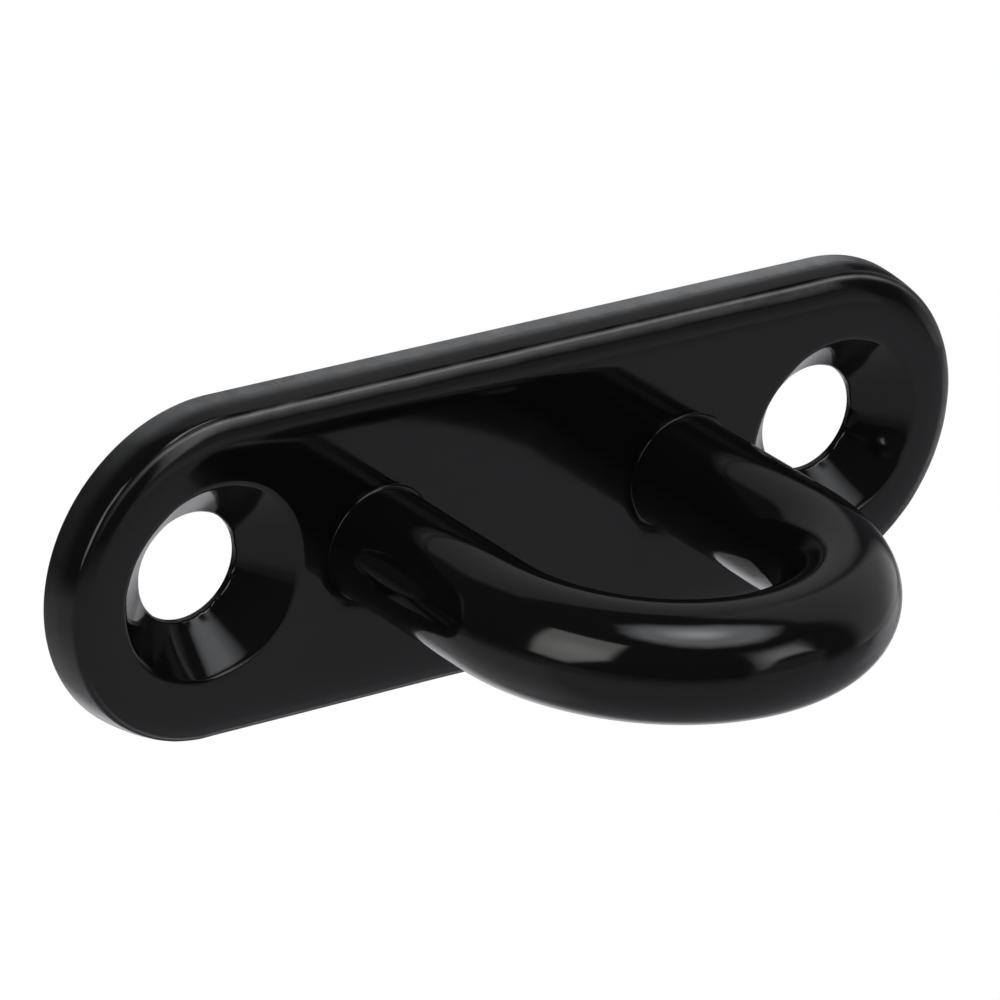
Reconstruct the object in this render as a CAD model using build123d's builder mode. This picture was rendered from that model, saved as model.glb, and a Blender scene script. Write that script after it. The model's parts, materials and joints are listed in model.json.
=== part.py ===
from build123d import *
import os

# Fixed oblong pad eye. A flat plate with round ends carries two countersunk screw holes,
# a U-bent round bar stands out from its front, and a plug weld closes each leg hole at
# the back. Millimetres.
#
# The back of the plate lies on the plane Y = 0 and faces +Y. The eye stands out towards
# -Y. X runs along the plate, Z across it, and the origin is the centre of the back.

# Plate
PLATE_LENGTH = 74.4
PLATE_WIDTH = 24.0
PLATE_THICKNESS = 3.5
FRONT_EDGE_RADIUS = 1.2
BACK_EDGE_RADIUS = 0.2

# Screw holes, countersunk from the front
SCREW_SPACING = 52.2
SCREW_HOLE_DIAMETER = 7.8
COUNTERSINK_DIAMETER = 14.0
COUNTERSINK_ANGLE = 90.0

# Eye: one bar, two straight legs and a half-circle bend
BAR_DIAMETER = 8.1
LEG_SPACING = 25.3
LEG_LENGTH = 12.7

# Plug welds: each one fills a chamfered leg hole and stops just short of the back face
WELD_CHAMFER = 1.3
WELD_SINK = 0.15
LEG_END_SINK = 0.9

os.makedirs("parts", exist_ok=True)

bar_radius = BAR_DIAMETER / 2
leg_end_y = -LEG_END_SINK
bend_start_y = -PLATE_THICKNESS - LEG_LENGTH
front_face = Plane.XZ.offset(PLATE_THICKNESS)
screw_places = GridLocations(SCREW_SPACING, 1, 2, 1).locations
leg_places = GridLocations(LEG_SPACING, 1, 2, 1).locations


# Plate: round-ended strip, front edge rounded over, four holes
with BuildPart() as base_plate:
    with BuildSketch(Plane.XZ):
        SlotOverall(PLATE_LENGTH, PLATE_WIDTH)
    extrude(amount=PLATE_THICKNESS)
    fillet(base_plate.faces().sort_by(Axis.Y)[0].edges(), FRONT_EDGE_RADIUS)
    fillet(base_plate.faces().sort_by(Axis.Y)[-1].edges(), BACK_EDGE_RADIUS)
    with Locations(front_face):
        with Locations(*screw_places):
            CounterSinkHole(
                radius=SCREW_HOLE_DIAMETER / 2,
                counter_sink_radius=COUNTERSINK_DIAMETER / 2,
                counter_sink_angle=COUNTERSINK_ANGLE,
            )
        with Locations(*leg_places):
            Hole(radius=bar_radius)
    back_rims = base_plate.edges().filter_by(GeomType.CIRCLE).group_by(Axis.Y)[-1]
    leg_rims = back_rims.filter_by(lambda rim: abs(rim.radius - bar_radius) < 0.01)
    chamfer(leg_rims, WELD_CHAMFER)
base_plate.part.label = "base_plate"
export_step(base_plate.part, "parts/base_plate.step")


# Eye: the bar's round section swept along leg, bend and leg
with BuildPart() as eye_loop:
    with BuildLine(Plane.XY) as eye_path:
        left_leg = Line((-LEG_SPACING / 2, leg_end_y), (-LEG_SPACING / 2, bend_start_y))
        bend = TangentArc(left_leg @ 1, (LEG_SPACING / 2, bend_start_y), tangent=left_leg % 1)
        Line(bend @ 1, (LEG_SPACING / 2, leg_end_y))
    with BuildSketch(Plane(origin=left_leg @ 0, z_dir=left_leg % 0)):
        Circle(bar_radius)
    sweep()
eye_loop.part.label = "eye_loop"
export_step(eye_loop.part, "parts/eye_loop.step")


def plug_weld(leg_x):
    """A weld that fills the chamfer around a leg's end and covers the end."""
    with BuildPart() as weld:
        with BuildSketch(Plane.XY):
            with BuildLine():
                Polyline(
                    (leg_x, leg_end_y),
                    (leg_x + bar_radius, leg_end_y),
                    (leg_x + bar_radius, -WELD_CHAMFER),
                    (leg_x + bar_radius + WELD_CHAMFER - WELD_SINK, -WELD_SINK),
                    (leg_x, -WELD_SINK),
                    close=True,
                )
            make_face()
        revolve(axis=Axis((leg_x, 0, 0), (0, 1, 0)))
    return weld


for side, leg_x in (("left", -LEG_SPACING / 2), ("right", LEG_SPACING / 2)):
    weld = plug_weld(leg_x)
    weld.part.label = f"weld_{side}"
    export_step(weld.part, f"parts/weld_{side}.step")
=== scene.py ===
import json
from math import cos, exp, hypot, pi, radians, sin

import bmesh
import bpy
from mathutils import Matrix, Vector, noise
from mathutils.geometry import delaunay_2d_cdt


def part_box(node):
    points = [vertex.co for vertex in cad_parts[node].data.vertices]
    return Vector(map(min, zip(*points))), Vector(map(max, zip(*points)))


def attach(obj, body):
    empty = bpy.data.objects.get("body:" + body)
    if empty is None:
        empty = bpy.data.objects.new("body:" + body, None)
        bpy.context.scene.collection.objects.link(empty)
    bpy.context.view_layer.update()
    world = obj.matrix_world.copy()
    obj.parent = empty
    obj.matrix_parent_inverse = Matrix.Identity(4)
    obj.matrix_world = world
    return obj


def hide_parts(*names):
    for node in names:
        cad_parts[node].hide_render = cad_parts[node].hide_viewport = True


# A fixed oblong pad eye under a gloss black coat: plate, bent bar eye and two plug welds.
# The back of the plate is the plane Y = 0, the eye stands out towards -Y and Z is up.

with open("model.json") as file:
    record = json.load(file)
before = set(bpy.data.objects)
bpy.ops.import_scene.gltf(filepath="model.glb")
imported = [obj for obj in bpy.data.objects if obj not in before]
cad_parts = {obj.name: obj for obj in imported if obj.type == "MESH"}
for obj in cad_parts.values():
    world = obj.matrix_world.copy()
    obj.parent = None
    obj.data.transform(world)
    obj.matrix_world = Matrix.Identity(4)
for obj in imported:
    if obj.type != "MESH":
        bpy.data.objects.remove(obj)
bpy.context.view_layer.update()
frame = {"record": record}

MM = 0.001

# ---------------------------------------------------------------- sizes from the frame
plate_low, plate_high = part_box("base_plate")
eye_low, eye_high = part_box("eye_loop")
weld_low, weld_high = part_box("weld_right")
mounts = {mount["name"]: mount for mount in frame["record"]["mounts"]}
screw_dims = mounts["screw_holes"]["dims"]

PLATE_THICKNESS = -plate_low.y
END_RADIUS = plate_high.z
END_CENTRE_X = plate_high.x - END_RADIUS
BAR_RADIUS = eye_high.z
LEG_X = eye_high.x - BAR_RADIUS
LEG_END_Y = eye_high.y
BEND_CENTRE_Y = eye_low.y + BAR_RADIUS + LEG_X
SCREW_X = screw_dims["spacing_x_mm"] * MM / 2
SCREW_RADIUS = screw_dims["hole_r_mm"] * MM
WELD_RADIUS = (weld_high.x - weld_low.x) / 2
WELD_TOP_Y = weld_high.y
WELD_CHAMFER = WELD_RADIUS - BAR_RADIUS - WELD_TOP_Y

# ---------------------------------------------------------------- sizes of the finish
COUNTERSINK_RADIUS = 7.0 * MM
COUNTERSINK_DEPTH = 3.0 * MM
BEAD_SIZE = 0.12 * MM          # drops of coat along the foot of the countersink
RIM_ROUND = 0.55 * MM          # how far the countersink's rim rolls over onto the face
CHATTER = 0.024 * MM           # ripple that the tool left on the cone
DROP_ANGLE = radians(-24)      # the one drop of coat on the right cone: round the hole
DROP_REACH = 6.2 * MM          # from the hole's centre
DROP_DEPTH = 0.75 * MM         # below the face
DROP_WIDTH = 0.75 * MM
DROP_HEIGHT = 0.17 * MM
# The plate's edge from back to front, as arcs: turn from, turn to, radius. A turn of 0 is
# square to the face and 90 is flat with it.
EDGE_ARCS = (
    (4.0, 14.0, 13.6 * MM),    # the wall, leaning in a little
    (14.0, 30.0, 0.6 * MM),    # the corner
    (30.0, 44.0, 0.35 * MM),
    (44.0, 57.0, 0.18 * MM),   # the sharp line between corner and roll
    (57.0, 63.0, 2.9 * MM),    # the broad roll of the face
    (63.0, 67.0, 1.7 * MM),
    (67.0, 68.5, 12.0 * MM),
    (68.5, 70.0, 5.5 * MM),
    (70.0, 75.0, 2.3 * MM),
    (75.0, 80.0, 2.25 * MM),
    (80.0, 90.0, 7.9 * MM),    # the face's slight fall towards its edge
)
RIDGE_TURN = 52.0              # turn of the sharp line, which wanders along the edge
RIDGE_REACH = 16.0             # how many degrees to either side wander with it
RIDGE_WANDER = 0.045 * MM
ROLL_TURNS = (64.0, 67.0)      # the stretch of the roll that is broader towards the right
ROLL_GROWTH = 0.2 * MM         # how much broader it is at the top side's right end
GROWTH_ACROSS = 0.91           # the direction of that growth, which is the slope of the roll
GROWTH_DOWN = 0.41
WALL_DEPTHS = (0.8 * MM, 3.1 * MM)      # the stretch of the wall that takes the growth up
CUT_START = 1.3 * MM           # depth at which the grey of the cut face starts
CUT_FADE = 1.3 * MM            # and over which it comes to its full strength
HIGHLIGHT_TURN = 61.5               # turn of the painted highlight: a grey line on the roll, where a lamp's reflection lies
BACK_ROUND = 0.2 * MM
HOLE_ROUND = 0.06 * MM
JUNCTION_REACH = 1.3 * MM      # how far the worn rim of each leg hole spreads over the face
# Pools of coat round each leg: degrees round the leg, half width in degrees, millimetres
LEFT_POOLS = ((240, 16, 0.12), (108, 20, 0.06))
RIGHT_POOLS = ((222, 24, 0.22), (52, 9, 0.14))
SUPPORT = 0.1 * MM             # flat strip beside each curve, which keeps the face flat
HIDDEN_GAP = 0.02 * MM         # how far the plate's leg holes stay inside the bar
FACE_GRID = 1.6 * MM           # spacing of the points inside the flat faces
WELD_DISH = 0.04 * MM          # how far the ground weld lies below its CAD surface
WELD_RIPPLE = 0.02 * MM


# ---------------------------------------------------------------- helpers
def clamp(value):
    """The value held between 0 and 1."""
    return min(max(value, 0.0), 1.0)


def new_mesh_object(name, points, faces):
    """A smooth-shaded mesh object made from points and faces."""
    mesh = bpy.data.meshes.new(name)
    mesh.from_pydata(points, [], faces)
    mesh.validate()
    shell = bmesh.new()
    shell.from_mesh(mesh)
    bmesh.ops.recalc_face_normals(shell, faces=shell.faces)
    shell.to_mesh(mesh)
    shell.free()
    mesh.polygons.foreach_set("use_smooth", [True] * len(mesh.polygons))
    piece = bpy.data.objects.new(name, mesh)
    bpy.context.scene.collection.objects.link(piece)
    return piece


def bridge(first, second, count):
    """Quads between two closed rings that start at those point numbers."""
    return [
        (first + i, first + (i + 1) % count, second + (i + 1) % count, second + i)
        for i in range(count)
    ]


def add_drop(ring, place, away):
    """A ring of points with the soft round drop of coat raised in a direction at a place."""
    raised = []
    for point in ring:
        gap = (Vector(point) - place).length / DROP_WIDTH
        raised.append(tuple(Vector(point) + away * DROP_HEIGHT * exp(-gap * gap)))
    return raised


def direction(azimuth, elevation):
    """Out from the object: degrees round from the front towards +X, and degrees up."""
    azimuth, elevation = radians(azimuth), radians(elevation)
    return Vector((sin(azimuth) * cos(elevation), -cos(azimuth) * cos(elevation), sin(elevation)))


def noise_at(place, size):
    """Smooth noise of about -1..1 at a place, with lumps of that size in millimetres."""
    return noise.noise(Vector(place) / (size * MM)) * 1.8


# ---------------------------------------------------------------- plate
END_STEPS = 120
SIDE_STEPS = 150
HOLE_STEPS = 144


def outline_points(inset, depth, turn):
    """One closed ring round the plate: right end, top side, left end, bottom side.

    The corner and the roll wander a little along the edge, as a pressed and coated one does.
    The roll gets broader towards the right end of the top side, and the wall more upright.
    """
    radius = END_RADIUS - inset
    loose = exp(-((turn - RIDGE_TURN) / RIDGE_REACH) ** 2)
    if turn > ROLL_TURNS[0]:
        carried = clamp((ROLL_TURNS[1] - turn) / (ROLL_TURNS[1] - ROLL_TURNS[0]))
    else:
        carried = clamp((WALL_DEPTHS[1] - depth) / (WALL_DEPTHS[1] - WALL_DEPTHS[0]))
    points = []
    for side in (1, -1):
        spots = []
        for step in range(END_STEPS):
            angle = pi * (step / END_STEPS - 0.5)
            spots.append((END_CENTRE_X, cos(angle), sin(angle)))
        for step in range(SIDE_STEPS):
            spots.append((END_CENTRE_X * (1 - 2 * step / SIDE_STEPS), 0.0, 1.0))
        for along, out_x, out_z in spots:
            x, z = side * (along + radius * out_x), side * radius * out_z
            wander = noise_at((x, 0.0, z), 6.0) + 0.5 * noise_at((x, 0.01, z), 1.6)
            along_top = clamp(0.65 + 0.35 * x / END_CENTRE_X) * max(0.0, z / END_RADIUS)
            growth = ROLL_GROWTH * carried * along_top
            slip = RIDGE_WANDER * loose * wander - GROWTH_ACROSS * growth
            x, z = x - side * slip * out_x, z - side * slip * out_z
            points.append((x, depth + GROWTH_DOWN * growth - PLATE_THICKNESS, z))
    return points


def edge_profile():
    """(inset, depth, turn) over the plate's edge, from the flat of the front face to the back."""
    climb = [(0.0, 0.0, 90.0)]
    for start, end, radius in reversed(EDGE_ARCS):
        steps = max(8, round((end - start) / 2))
        inset, depth, _ = climb[-1]
        for step in range(1, steps + 1):
            turn = end + (start - end) * step / steps
            across = radius * (cos(radians(turn)) - cos(radians(end)))
            down = radius * (sin(radians(end)) - sin(radians(turn)))
            climb.append((inset - across, depth + down, turn))
    widest = climb[-1][0]
    profile = [(SUPPORT - widest, 0.0, 90.0)] + [(i - widest, d, turn) for i, d, turn in climb]
    wall_end = PLATE_THICKNESS - BACK_ROUND
    for step in range(7):
        turn = radians(90 * step / 6)
        inset, depth = BACK_ROUND * (1 - cos(turn)), wall_end + BACK_ROUND * sin(turn)
        profile.append((inset, depth, -90.0 * step / 6))
    profile.append((BACK_ROUND + SUPPORT, PLATE_THICKNESS, -90.0))
    return profile


def hole_points(centre_x, radius, depth, ripple=0.0, beads=0.0):
    """One closed ring round a hole, with the tool's ripple and beads of thick coat."""
    points = []
    for step in range(HOLE_STEPS):
        angle = 2 * pi * step / HOLE_STEPS
        chatter = sin(7 * angle + 0.6) + 0.5 * sin(12 * angle + 2.1) + 0.3 * sin(19 * angle)
        r = radius + ripple * chatter
        if beads:
            spot = (centre_x + 0.004 * cos(angle), 0.0, 0.004 * sin(angle))
            r -= beads * max(0.0, noise_at(spot, 0.8)) * max(0.0, cos(angle + radians(30)))
        points.append((centre_x + r * cos(angle), depth - PLATE_THICKNESS, r * sin(angle)))
    return points


def countersink_profile():
    """(radius, depth, ripple, beads) from the face, down the cone and land, to the back."""
    profile = [(COUNTERSINK_RADIUS + RIM_ROUND + SUPPORT, 0.0, 0.0, 0.0)]
    half_turn = radians(45)
    bend = RIM_ROUND / (1 - cos(half_turn)) * 0.42
    for step in range(9):
        turn = half_turn * step / 8
        run = bend * sin(turn)
        drop = bend * (1 - cos(turn))
        profile.append((COUNTERSINK_RADIUS + bend * 0.4142 - run, drop, CHATTER * step / 8, 0.0))
    cone_start = profile[-1]
    junction = (SCREW_RADIUS, COUNTERSINK_DEPTH)
    for step in range(1, 25):
        part = step / 24
        radius = cone_start[0] + (junction[0] - cone_start[0]) * part
        depth = cone_start[1] + (junction[1] - cone_start[1]) * part
        beads = BEAD_SIZE * max(0.0, (part - 0.85) / 0.15)
        profile.append((radius, depth, CHATTER * (1 - 0.6 * part), beads))
    land_end = PLATE_THICKNESS - HOLE_ROUND
    for part, beads in ((0.2, BEAD_SIZE), (0.4, 0.3 * BEAD_SIZE), (0.6, 0.0), (1.0, 0.0)):
        profile.append((SCREW_RADIUS, junction[1] + (land_end - junction[1]) * part, 0.0, beads))
    for step in range(1, 6):
        turn = radians(90 * step / 5)
        out = HOLE_ROUND * (1 - cos(turn))
        profile.append((SCREW_RADIUS + out, land_end + HOLE_ROUND * sin(turn), 0.0, 0.0))
    profile.append((SCREW_RADIUS + HOLE_ROUND + SUPPORT, PLATE_THICKNESS, 0.0, 0.0))
    return profile


def leg_junction(centre_x):
    """Rings round one leg: the face, the rim that rolls down to the leg, the coat's fillet.

    The bar sits a little high in its hole, so the gap is widest under it, and the coat has
    pooled in it unevenly.
    """
    pools = RIGHT_POOLS if centre_x > 0 else LEFT_POOLS
    rings = []
    for step in range(13):
        rings.append([(step / 12) ** 0.8, 0.0])
    for step in range(1, 10):
        rings.append([1.0, radians(10 * step)])
    inside = BAR_RADIUS - HIDDEN_GAP
    made = []
    for inward, turn in rings:
        ring = []
        for step in range(HOLE_STEPS):
            angle = 2 * pi * step / HOLE_STEPS
            across, up = cos(angle), sin(angle)
            lump = noise_at((centre_x + BAR_RADIUS * across, 0.003, BAR_RADIUS * up), 1.5)
            below = max(0.0, -0.85 * up - 0.5 * across) ** 1.5
            right = max(0.0, 0.9 * across + 0.3 * up)
            above = max(0.0, 0.9 * up - 0.1 * across)
            fillet = 0.012 + 0.3 * right + 0.1 * above + 0.04 * lump
            for middle, width, size in pools:
                spread_round = exp(-((angle - radians(middle)) / radians(width)) ** 2)
                fillet += size * spread_round * (1 + 0.3 * lump)
            fillet = max(0.01, fillet) * MM
            drop = (0.03 + 0.26 * below + 0.05 * below * lump) * MM
            spread_out = (0.45 + 0.75 * below) * MM
            gap = JUNCTION_REACH + (fillet - JUNCTION_REACH) * inward - fillet * sin(turn)
            sunk = drop * max(0.0, 1 - gap / spread_out) ** 2 - fillet * (1 - cos(turn))
            radius = BAR_RADIUS + gap
            ring.append((centre_x + radius * across, sunk - PLATE_THICKNESS, radius * up))
        made.append(ring)
    for radius, depth in (
        (inside, -0.1 * MM),
        (inside, PLATE_THICKNESS - WELD_CHAMFER),
        (BAR_RADIUS + WELD_CHAMFER, PLATE_THICKNESS),
        (BAR_RADIUS + WELD_CHAMFER + SUPPORT, PLATE_THICKNESS),
    ):
        made.append(hole_points(centre_x, radius, depth))
    return made


def inside_plate(x, z, margin):
    """True where a point is that far inside the plate's outline."""
    beyond = max(abs(x) - END_CENTRE_X, 0.0)
    return hypot(beyond, z) < END_RADIUS - margin


def flat_face(rings, margin, keep_clear, y):
    """Triangles that fill the flat face between its outline ring and its hole rings.

    rings are lists of (point number, point). Returns new points and triangles.
    """
    flat, numbers, edges = [], [], []
    for ring in rings:
        start = len(flat)
        flat += [Vector((point[0], point[2])) for _, point in ring]
        numbers += [number for number, _ in ring]
        edges += [(start + i, start + (i + 1) % len(ring)) for i in range(len(ring))]
    boundary = len(flat)
    columns = int(2 * plate_high.x / FACE_GRID)
    rows = int(2 * END_RADIUS / FACE_GRID)
    for column in range(columns + 1):
        for row in range(rows + 1):
            x = plate_low.x + (column + 0.5 * (row % 2)) * FACE_GRID
            z = -END_RADIUS + (row + 0.5) * FACE_GRID
            clear = all(hypot(x - cx, z) > r + FACE_GRID * 0.6 for cx, r in keep_clear)
            if clear and inside_plate(x, z, margin + FACE_GRID * 0.6):
                flat.append(Vector((x, z)))
    made = delaunay_2d_cdt(flat, edges, [], 0, 1e-9)
    spots, triangles, origin = made[0], made[2], made[3]
    own = {}
    new_points = []
    for i, spot in enumerate(spots):
        source = origin[i][0] if origin[i] else None
        if source is not None and source < boundary:
            own[i] = numbers[source]
        else:
            own[i] = ("new", len(new_points))
            new_points.append((spot.x, y, spot.y))
    kept = []
    for triangle in triangles:
        middle = sum((spots[i] for i in triangle), Vector((0, 0))) / 3
        in_hole = any((middle - Vector((cx, 0))).length < r for cx, r in keep_clear)
        if not in_hole and inside_plate(middle.x, middle.y, margin):
            kept.append([own[i] for i in triangle])
    return new_points, kept


def edge_cut_highlight_and_roll(edge):
    """How much of the dull cut face, painted highlight and worn roll shows at each point of the
    edge.

    All three fade out round the ends, and the cut face is half as strong towards the left one.
    The cut face covers the wall, not the flat back. The painted highlight, a grey line along the
    roll that brightens it like a lamp's reflection, is added to the cut face's share.
    """
    fade = [abs(sin(pi * (step / END_STEPS - 0.5))) for step in range(END_STEPS)]
    both_sides = ([part**4 for part in fade] + [1.0] * SIDE_STEPS) * 2
    half_way = [0.5 * step / SIDE_STEPS for step in range(SIDE_STEPS)]
    cut_round = [part**7 for part in fade] + [1.0 - part for part in half_way]
    cut_round += [0.05 + 0.45 * part**7 for part in fade] + [0.5 + part for part in half_way]
    cut_face_and_highlight, roll = [], []
    for _, depth, turn in edge:
        share = clamp((depth - CUT_START) / CUT_FADE)
        share = (share * share * (3 - 2 * share)) ** 1.4
        share *= clamp((turn + 75) / 60)
        # Painted highlight: a grey line along the roll that brightens it like a lamp's
        # reflection.
        painted_highlight = 0.8 * exp(-((turn - HIGHLIGHT_TURN) / 2.2) ** 2)
        rolled = exp(-((turn - HIGHLIGHT_TURN - 0.5) / 9.0) ** 2)
        cut_face_and_highlight += [share * grey_share + painted_highlight * side for grey_share, side in zip(cut_round, both_sides)]
        roll += [rolled * side for side in both_sides]
    return cut_face_and_highlight, roll


def make_plate():
    """The plate as one closed mesh: edge, two countersunk holes, two leg holes, two faces."""
    points, faces = [], []
    fronts, backs = [], []

    def add_rings(rings):
        count = len(rings[0])
        starts = []
        for ring in rings:
            starts.append(len(points))
            points.extend(ring)
        for first, second in zip(starts, starts[1:]):
            faces.extend(bridge(first, second, count))
        for start, ring, group in ((starts[0], rings[0], fronts), (starts[-1], rings[-1], backs)):
            group.append([(start + i, point) for i, point in enumerate(ring)])

    edge = edge_profile()
    add_rings([outline_points(*station) for station in edge])
    cut_face_and_highlight, roll = edge_cut_highlight_and_roll(edge)
    screw = countersink_profile()
    across, up = cos(DROP_ANGLE), sin(DROP_ANGLE)
    spot = (SCREW_X + DROP_REACH * across, DROP_DEPTH - PLATE_THICKNESS, DROP_REACH * up)
    away = Vector((-across, -1, -up)).normalized()
    for centre_x in (-SCREW_X, SCREW_X):
        rings = [hole_points(centre_x, *station) for station in screw]
        add_rings([add_drop(ring, Vector(spot), away) for ring in rings])
    for centre_x in (-LEG_X, LEG_X):
        add_rings(leg_junction(centre_x))
    for group, which in ((fronts, 0), (backs, -1)):
        clear = [(-SCREW_X, screw[which][0]), (SCREW_X, screw[which][0])]
        leg_ring = group[-1][0][1]
        clear += [(-LEG_X, leg_ring[0] - LEG_X), (LEG_X, leg_ring[0] - LEG_X)]
        y = -PLATE_THICKNESS if which == 0 else 0.0
        new_points, triangles = flat_face(group, edge[which][0], clear, y)
        base = len(points)
        points.extend(new_points)
        for triangle in triangles:
            faces.append([base + i[1] if isinstance(i, tuple) else i for i in triangle])
    plate = new_mesh_object("plate", points, faces)
    # The first attribute holds the cut face's grey and the painted highlight on the roll.
    for name, shares in (("cut_face_and_highlight", cut_face_and_highlight), ("roll", roll)):
        layer = plate.data.attributes.new(name, "FLOAT", "POINT")
        layer.data.foreach_set("value", shares + [0.0] * (len(points) - len(shares)))
    return plate


# ---------------------------------------------------------------- eye
AROUND = 128
LEG_RINGS = 60
BEND_RINGS = 200


def close_end(points, faces, start, middle):
    """A fan of triangles from a new middle point to the ring that starts at that number."""
    centre = len(points)
    points.append(tuple(middle))
    for i in range(AROUND):
        pair = (start + i, start + (i + 1) % AROUND)
        faces.append((centre, *(pair if start == 0 else pair[::-1])))


def eye_line():
    """(point, outward) along the bar's middle: left leg, half-circle bend, right leg."""
    line = []
    for step in range(LEG_RINGS):
        y = LEG_END_Y + (BEND_CENTRE_Y - LEG_END_Y) * step / LEG_RINGS
        line.append((Vector((-LEG_X, y, 0)), Vector((-1, 0, 0))))
    for step in range(BEND_RINGS + 1):
        angle = pi * (1 + step / BEND_RINGS)
        out = Vector((cos(angle), sin(angle), 0))
        line.append((Vector((0, BEND_CENTRE_Y, 0)) + out * LEG_X, out))
    for step in range(1, LEG_RINGS + 1):
        y = BEND_CENTRE_Y + (LEG_END_Y - BEND_CENTRE_Y) * step / LEG_RINGS
        line.append((Vector((LEG_X, y, 0)), Vector((1, 0, 0))))
    return line


def make_eye():
    """The bar as one closed mesh."""
    points, faces = [], []
    line = eye_line()
    for place, out in line:
        for step in range(AROUND):
            angle = 2 * pi * step / AROUND
            spot = place + BAR_RADIUS * (out * cos(angle) + Vector((0, 0, 1)) * sin(angle))
            points.append(tuple(spot))
    for ring in range(len(line) - 1):
        faces += bridge(ring * AROUND, (ring + 1) * AROUND, AROUND)
    close_end(points, faces, 0, line[0][0])
    close_end(points, faces, (len(line) - 1) * AROUND, line[-1][0])
    return new_mesh_object("eye", points, faces)


# ---------------------------------------------------------------- welds
def make_weld(name, centre_x):
    """A ground plug weld: a disc that isn't quite flat, closed underneath."""
    points, faces = [], []
    rings = 40
    for ring in range(1, rings + 1):
        radius = WELD_RADIUS * ring / rings
        for step in range(AROUND):
            angle = 2 * pi * step / AROUND
            x, z = centre_x + radius * cos(angle), radius * sin(angle)
            ripple = WELD_RIPPLE * noise_at((x, 0.007, z), 1.8)
            points.append((x, WELD_TOP_Y - WELD_DISH + ripple, z))
    for radius in (BAR_RADIUS - HIDDEN_GAP, BAR_RADIUS * 0.5):
        for step in range(AROUND):
            angle = 2 * pi * step / AROUND
            points.append((centre_x + radius * cos(angle), -WELD_CHAMFER, radius * sin(angle)))
    for ring in range(rings + 1):
        faces += bridge(ring * AROUND, (ring + 1) * AROUND, AROUND)
    close_end(points, faces, 0, (centre_x, WELD_TOP_Y - WELD_DISH, 0))
    close_end(points, faces, (rings + 1) * AROUND, (centre_x, -WELD_CHAMFER, 0))
    return new_mesh_object(name, points, faces)


# ---------------------------------------------------------------- materials
COAT = (0.0044, 0.0044, 0.0046, 1)
COAT_ROUGHNESS = 0.07
# Grey of the cut face, which also paints the highlight line along the roll.
CUT_AND_HIGHLIGHT_GREY = (0.35, 0.358, 0.37, 1)


def grain(nodes, links, place, scale, detail=2.0):
    """A noise texture in the object's own metres."""
    texture = nodes.new("ShaderNodeTexNoise")
    texture.inputs["Scale"].default_value = scale
    texture.inputs["Detail"].default_value = detail
    links.new(place, texture.inputs["Vector"])
    return texture.outputs["Fac"]


def spread(nodes, links, value, low, high, to_low, to_high):
    """value carried from low..high to to_low..to_high, clamped."""
    step = nodes.new("ShaderNodeMapRange")
    step.inputs["From Min"].default_value = low
    step.inputs["From Max"].default_value = high
    step.inputs["To Min"].default_value = to_low
    step.inputs["To Max"].default_value = to_high
    links.new(value, step.inputs["Value"])
    return step.outputs["Result"]


def combine(nodes, links, operation, first, second):
    """Two values, or a value and a number, joined by a math operation."""
    step = nodes.new("ShaderNodeMath")
    step.operation = operation
    for socket, value in ((step.inputs[0], first), (step.inputs[1], second)):
        if isinstance(value, (int, float)):
            socket.default_value = value
        else:
            links.new(value, socket)
    return step.outputs["Value"]


def stored(nodes, name):
    """A value that is stored on the mesh's points."""
    source = nodes.new("ShaderNodeAttribute")
    source.attribute_name = name
    return source.outputs["Fac"]


def brush_strokes(nodes, links, place, rolled):
    """Fine strokes across the worn roll, which run along the depth and height of the plate."""
    stretch = nodes.new("ShaderNodeMapping")
    stretch.inputs["Scale"].default_value = (1, 0.1, 0.1)
    links.new(place, stretch.inputs["Vector"])
    strokes = grain(nodes, links, stretch.outputs["Vector"], 3200, 2)
    strength = combine(nodes, links, "MULTIPLY", rolled, 0.7)
    return combine(nodes, links, "MULTIPLY", strokes, strength)


def gloss_black(name, cut_edge_and_highlight=False):
    """Black gloss coat: faint orange peel, dull grey mottling on the cut edge, painted highlight
    on its roll.
    """
    material = bpy.data.materials.new(name)
    material.use_nodes = True
    nodes, links = material.node_tree.nodes, material.node_tree.links
    shader = nodes["Principled BSDF"]
    shader.inputs["IOR"].default_value = 1.5
    place = nodes.new("ShaderNodeTexCoord").outputs["Object"]
    relief = grain(nodes, links, place, 450, 1.5)       # orange peel
    haze = grain(nodes, links, place, 90, 3)
    rough = spread(nodes, links, haze, 0.35, 0.7, COAT_ROUGHNESS, COAT_ROUGHNESS + 0.05)
    if cut_edge_and_highlight:
        patch = spread(nodes, links, grain(nodes, links, place, 620, 4), 0.3, 0.7, 0.68, 1.0)
        # Grey share: the mottled cut face, and the painted highlight line along the roll.
        grey_share = combine(nodes, links, "MULTIPLY", stored(nodes, "cut_face_and_highlight"), patch)
        rolled = stored(nodes, "roll")
        for share, added in ((grey_share, 0.4), (rolled, 0.04)):
            duller = combine(nodes, links, "MULTIPLY", share, added)
            rough = combine(nodes, links, "ADD", rough, duller)
        tint = nodes.new("ShaderNodeMix")
        tint.data_type = "RGBA"
        tint.inputs["A"].default_value = COAT
        tint.inputs["B"].default_value = CUT_AND_HIGHLIGHT_GREY
        links.new(grey_share, tint.inputs["Factor"])
        links.new(tint.outputs["Result"], shader.inputs["Base Color"])
        strokes = brush_strokes(nodes, links, place, rolled)
        relief = combine(nodes, links, "ADD", relief, strokes)
    else:
        shader.inputs["Base Color"].default_value = COAT
    links.new(rough, shader.inputs["Roughness"])
    bump = nodes.new("ShaderNodeBump")
    bump.inputs["Strength"].default_value = 0.04
    bump.inputs["Distance"].default_value = 0.0002
    links.new(relief, bump.inputs["Height"])
    links.new(bump.outputs["Normal"], shader.inputs["Normal"])
    return material


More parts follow.
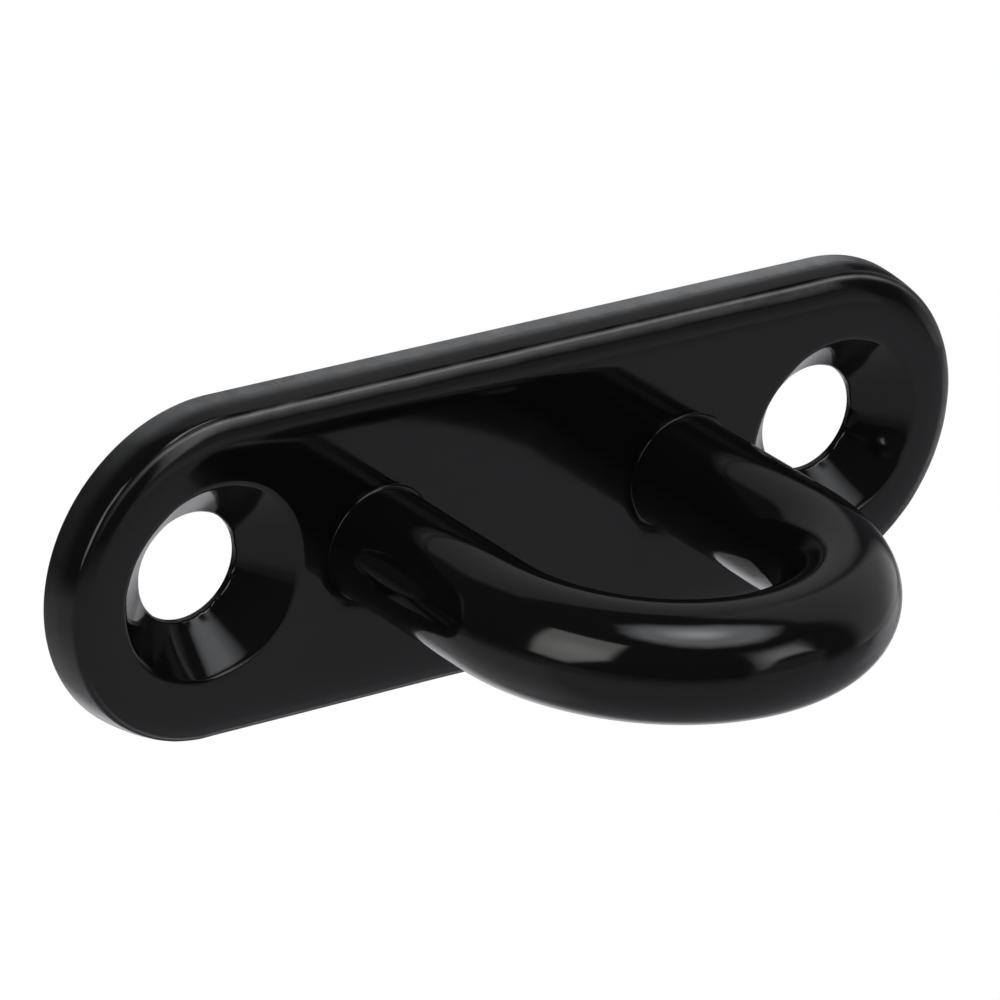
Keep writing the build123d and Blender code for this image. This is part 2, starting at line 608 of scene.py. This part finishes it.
# ---------------------------------------------------------------- object
plate = make_plate()
eye = make_eye()
weld_left = make_weld("plug_weld_left", -LEG_X)
weld_right = make_weld("plug_weld_right", LEG_X)

for piece, node, coat in (
    (plate, "base_plate", "plate_coat"),
    (eye, "eye_loop", "eye_coat"),
    (weld_left, "weld_left", "weld_coat"),
    (weld_right, "weld_right", "weld_coat"),
):
    piece.data.materials.append(gloss_black(coat, piece is plate))
    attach(piece, "root")
    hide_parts(node)


# ---------------------------------------------------------------- camera
CAMERA_AZIMUTH = -39.208
CAMERA_ELEVATION = 24.187
CAMERA_ROLL = 4.901
CAMERA_DISTANCE = 0.59685
CAMERA_AIM = Vector((-0.167, -0.296, -0.747)) * MM
CAMERA_LENS = 320.85


def make_camera():
    """A long lens, from the plate's left, above and in front, rolled a little."""
    data = bpy.data.cameras.new("camera")
    data.lens = CAMERA_LENS
    data.sensor_width = 36
    data.clip_start = 0.01
    data.clip_end = 20
    camera = bpy.data.objects.new("camera", data)
    bpy.context.scene.collection.objects.link(camera)
    back = direction(CAMERA_AZIMUTH, CAMERA_ELEVATION)
    camera.location = CAMERA_AIM + back * CAMERA_DISTANCE
    aim = (-back).to_track_quat("-Z", "Y").to_matrix()
    roll = Matrix.Rotation(radians(CAMERA_ROLL), 3, "Z")
    camera.rotation_euler = (aim @ roll).to_euler()
    bpy.context.scene.camera = camera


make_camera()


# ---------------------------------------------------------------- floor and light
# A gloss black object shows the room round it more than its own colour, so the room is built:
# an overhead lamp, lamps at the left and in front, dim cards at the right and behind, and
# glowing patches on the floor, which are painted pools of light.
STUDIO_RADIUS = 1.5            # metres from the object to each lamp or card
FLOOR_DROP = 0.35              # metres from the object down to the floor
FLOOR_HALF = 4.0               # half the floor's side, in metres
PATCH_STEP = 0.002             # how far each patch of floor lies above the one before it
FIRST_PATCH = 0.005            # how far the first patch lies above the floor
WHITE = (1.0, 1.0, 1.0)


def emission(name, colour, core, reach, edge):
    """A glow from core at the middle to edge at that reach, which fades out at the border.

    It adds to what is behind it, so a faded border darkens nothing.
    """
    material = bpy.data.materials.new(name)
    material.use_nodes = True
    nodes, links = material.node_tree.nodes, material.node_tree.links
    nodes.clear()
    place = nodes.new("ShaderNodeTexCoord")
    length = nodes.new("ShaderNodeVectorMath")
    length.operation = "LENGTH"
    links.new(place.outputs["Object"], length.inputs[0])
    fall = nodes.new("ShaderNodeMapRange")
    fall.interpolation_type = "SMOOTHSTEP"
    fall.inputs["From Max"].default_value = reach
    fall.inputs["To Min"].default_value = core
    fall.inputs["To Max"].default_value = edge
    links.new(length.outputs["Value"], fall.inputs["Value"])
    glow = nodes.new("ShaderNodeEmission")
    glow.inputs["Color"].default_value = (*colour, 1)
    strength = combine(nodes, links, "MULTIPLY", fall.outputs["Result"], stored(nodes, "glow"))
    links.new(strength, glow.inputs["Strength"])
    clear = nodes.new("ShaderNodeBsdfTransparent")
    both = nodes.new("ShaderNodeAddShader")
    links.new(glow.outputs["Emission"], both.inputs[0])
    links.new(clear.outputs["BSDF"], both.inputs[1])
    output = nodes.new("ShaderNodeOutputMaterial")
    links.new(both.outputs["Shader"], output.inputs["Surface"])
    return material


def grow(outline, margins):
    """An outline moved outwards by a margin at each corner, or inwards by a negative one."""
    area = sum(a[0] * b[1] - b[0] * a[1] for a, b in zip(outline, outline[1:] + outline[:1]))
    side = 1 if area > 0 else -1
    moved = []
    around = zip(outline[-1:] + outline, outline, outline[1:] + outline[:1], margins)
    for before, corner, after, margin in around:
        into = (Vector(corner) - Vector(before)).normalized()
        out = (Vector(after) - Vector(corner)).normalized()
        mitre = Vector((into.y + out.y, -into.x - out.x)) * side
        moved.append(Vector(corner) + mitre * margin / max(0.6, mitre.length_squared / 2))
    return moved


def make_panel(name, azimuth, elevation, outline, glow, colour=WHITE, distance=STUDIO_RADIUS):
    """A flat lamp or card square to a direction from the object, which the camera doesn't see.

    outline has three numbers for each corner: across and up from the middle of that direction,
    and the width of the border over which the glow fades there. glow is across and up of the
    bright spot, its strength, the reach of the fall around it and the strength beyond that.
    All lengths are in units of the distance.
    """
    away = direction(azimuth, elevation)
    across = Vector((cos(radians(azimuth)), sin(radians(azimuth)), 0))
    up = across.cross(-away)
    if up.z < 0:
        up = -up
    bright_u, bright_v, core, reach, edge = glow
    count = len(outline)
    corners = [(u, v) for u, v, _ in outline]
    border = grow(corners, [soft / 2 for _, _, soft in outline])
    border += grow(corners, [-soft / 2 for _, _, soft in outline])
    middle = distance * (across * bright_u + up * bright_v)
    points = [distance * (across * u + up * v) - middle for u, v in border]
    faces = bridge(0, count, count) + [tuple(range(count, 2 * count))]
    panel = new_mesh_object(name, points, faces)
    layer = panel.data.attributes.new("glow", "FLOAT", "POINT")
    layer.data.foreach_set("value", [0.0] * count + [1.0] * count)
    panel.location = away * distance + middle
    panel.data.materials.append(emission(name, colour, core, reach * distance, edge))
    panel.visible_camera = False


def make_floor():
    """A pale floor well below the object, which the camera doesn't see."""
    square = ((-1, -1), (1, -1), (1, 1), (-1, 1))
    corners = [(x * FLOOR_HALF, y * FLOOR_HALF, -FLOOR_DROP) for x, y in square]
    floor = new_mesh_object("floor", corners, [(0, 1, 2, 3)])
    material = bpy.data.materials.new("floor")
    material.use_nodes = True
    shader = material.node_tree.nodes["Principled BSDF"]
    shader.inputs["Base Color"].default_value = (0.6, 0.598, 0.625, 1)
    shader.inputs["Roughness"].default_value = 1.0
    floor.data.materials.append(material)
    floor.visible_camera = False


def make_world():
    """A dim room all round, with a white background behind the object."""
    world = bpy.data.worlds.new("studio")
    world.use_nodes = True
    nodes, links = world.node_tree.nodes, world.node_tree.links
    dim = nodes["Background"]
    dim.inputs["Color"].default_value = (0.045, 0.045, 0.05, 1)
    white = nodes.new("ShaderNodeBackground")
    white.inputs["Color"].default_value = (1, 1, 1, 1)
    path = nodes.new("ShaderNodeLightPath")
    choice = nodes.new("ShaderNodeMixShader")
    links.new(path.outputs["Is Camera Ray"], choice.inputs["Fac"])
    links.new(dim.outputs["Background"], choice.inputs[1])
    links.new(white.outputs["Background"], choice.inputs[2])
    links.new(choice.outputs["Shader"], nodes["World Output"].inputs["Surface"])
    bpy.context.scene.world = world
    bpy.context.scene.view_settings.view_transform = "Standard"


overhead = [
    (0.06, 0.0, 0.16), (-0.11, -0.03, 0.14), (-0.28, -0.21, 0.14), (-0.33, -0.36, 0.16),
    (-0.28, -0.55, 0.2), (-0.2, -0.7, 0.25), (-0.03, -0.84, 0.28), (0.2, -0.88, 0.28),
    (0.41, -0.84, 0.28), (0.55, -0.65, 0.22), (0.56, -0.4, 0.22), (0.44, -0.19, 0.14),
    (0.32, -0.06, 0.14),
]
make_panel("lamp_overhead", 0, 90, overhead, (0.09, -0.33, 5.2, 0.27, 2.1), (0.95, 0.97, 1.0))

left = [
    (-0.42, 1.24, 0.08), (0.39, 1.18, 0.08), (0.29, 0.33, 0.08), (-0.035, 0.0, 0.08),
    (-0.33, 0.04, 0.08),
]
make_panel("lamp_left", -70, 0, left, (0.0, 0.45, 2.65, 0.5, 1.8), (1.0, 0.99, 0.94))

front = [
    (0.25, 0.2, 0.08), (0.222, 0.62, 0.2), (-0.27, 0.62, 0.2), (-0.275, 0.0, 0.05),
    (-0.19, 0.06, 0.05), (-0.12, 0.18, 0.06), (-0.05, 0.24, 0.08), (0.05, 0.265, 0.08),
    (0.16, 0.25, 0.08),
]
make_panel("lamp_front", 27, 0, front, (0.0, 0.32, 2.3, 0.42, 0.5))

# A dim skirt that hangs just behind the front lamp
skirt = [(-0.33, -0.35, 0.08), (0.34, -0.35, 0.08), (0.34, 0.14, 0.08), (-0.33, 0.14, 0.08)]
make_panel("skirt", 27, 0, skirt, (0.0, 0.0, 0.16, 1.0, 0.16), WHITE, STUDIO_RADIUS + 0.02)

right = [
    (-0.46, -0.7, 0.2), (0.5, -0.7, 0.1), (0.51, 0.5, 0.12), (0.66, 1.2, 0.2), (0.66, 2.2, 0.3),
    (0.33, 2.05, 0.3), (0.07, 1.8, 0.3), (-0.2, 1.6, 0.3), (-0.48, 1.2, 0.2),
]
make_panel("card_right", 92, 0, right, (0.33, -0.2, 0.66, 0.5, 0.32))

back = [
    (-0.8, 0.6, 0.2), (-0.65, 0.42, 0.15), (-0.3, 0.25, 0.1), (0.1, 0.25, 0.1), (0.6, 0.4, 0.15),
    (0.62, 2.0, 0.25), (0.0, 2.0, 0.25), (-0.5, 1.95, 0.25), (-0.8, 2.0, 0.25),
]
make_panel("card_back", 165, 0, back, (0.0, 1.0, 0.25, 1.0, 0.23))

# Glowing patches just above the floor: painted pools of light, bright at a spot and fading out.
floor_behind = [
    (0.2, -0.35, 0.3), (0.75, -0.35, 0.3), (2.9, -1.5, 0.5), (3.0, -2.0, 0.4), (1.5, -1.7, 0.5),
    (0.5, -1.6, 0.4), (-0.1, -1.6, 0.3), (-0.15, -0.7, 0.3),
]
floor_right = [(1.6, 0.25, 0.5), (4.1, 0.6, 0.3), (3.9, -1.6, 0.3), (1.6, -0.75, 0.5)]
floor_left = [
    (-0.4, 0.1, 0.2), (-3.5, 0.5, 0.4), (-3.0, -1.34, 0.4), (-2.2, -1.7, 0.3), (-1.4, -1.8, 0.3),
    (-0.6, -1.4, 0.3), (-0.2, -1.2, 0.3), (-0.1, -0.4, 0.2),
]
floor_light_pools = (
    ("floor_behind", floor_behind, (0.42, -0.8, 0.5, 0.7, 0.14)),
    ("floor_right", floor_right, (3.5, -0.9, 0.36, 2.0, 0.15)),
    ("floor_left", floor_left, (-0.3, -0.6, 0.14, 1.2, 0.08)),
)
for count, (name, outline, glow) in enumerate(floor_light_pools):
    level = FLOOR_DROP - FIRST_PATCH - PATCH_STEP * count
    make_panel(name, 0, -90, outline, glow, WHITE, level)

make_floor()
make_world()
